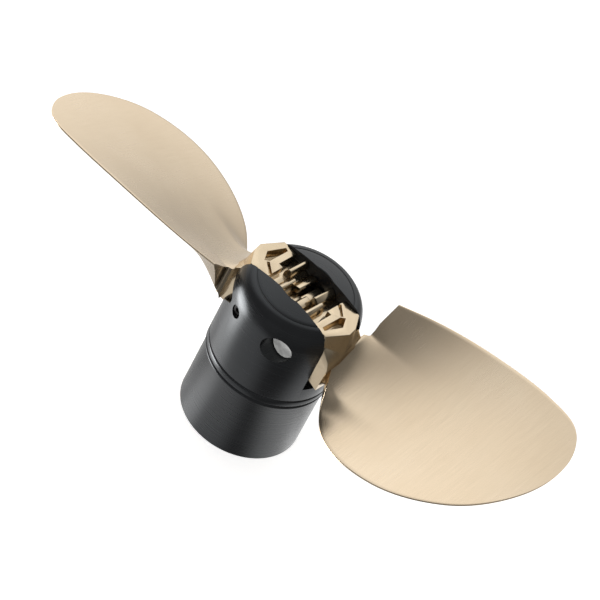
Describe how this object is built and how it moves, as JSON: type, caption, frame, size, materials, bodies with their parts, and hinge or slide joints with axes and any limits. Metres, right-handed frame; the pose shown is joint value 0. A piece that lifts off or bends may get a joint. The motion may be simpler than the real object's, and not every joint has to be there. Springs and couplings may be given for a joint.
{
  "type": "boat propeller",
  "caption": "Folding boat propeller with a forked cylindrical hub and broad bronze blades that swing on pins and stay in step through gear teeth on their roots.",
  "frame": {"origin": "centre of the hub's forward face, on the shaft line", "axes": "+Z along the shaft line pointing aft, +X along the open blades, +Y along the pivot pins"},
  "size_m": [0.3664, 0.1262, 0.1301],
  "materials": {
    "hub_black": "satin black coating over turned metal",
    "bronze": "fine brushed pale bronze",
    "steel": "turned stainless steel",
    "bush_bronze": "dull bearing bronze",
    "rubber": "matte moulded",
    "zinc": "dull as-cast anode alloy"
  },
  "bodies": {
    "hub": {"hub_body": "hub_black", "pivot_pin_right": "steel", "pivot_pin_left": "steel", "pin_lock_screw_right": "steel", "pin_lock_screw_left": "steel", "stop_pad_right": "rubber", "stop_pad_left": "rubber", "spline_sleeve": "bush_bronze", "drive_damper": "rubber", "thrust_washer": "steel", "tab_washer": "steel", "shaft_nut": "steel", "anode_ring": "zinc", "anode_screw_1": "steel", "anode_screw_2": "steel", "anode_screw_3": "steel"},
    "right_blade": {"blade_right": "bronze", "blade_bush_right_front": "bush_bronze", "blade_bush_right_rear": "bush_bronze"},
    "left_blade": {"blade_left": "bronze", "blade_bush_left_front": "bush_bronze", "blade_bush_left_rear": "bush_bronze"}
  },
  "joints": [
    {"name": "blade_right_fold", "type": "hinge", "parent": "hub", "child": "right_blade", "pos_m": [0.0168, 0, 0.096], "axis": [0, -1, 0], "range_deg": [0, 80]},
    {"name": "blade_left_fold", "type": "hinge", "parent": "hub", "child": "left_blade", "pos_m": [-0.0168, 0, 0.096], "axis": [0, 1, 0], "range_deg": [0, 80]}
  ],
  "couplings": [
    {"joint": "blade_left_fold", "follows": "blade_right_fold", "ratio": 1}
  ]
}
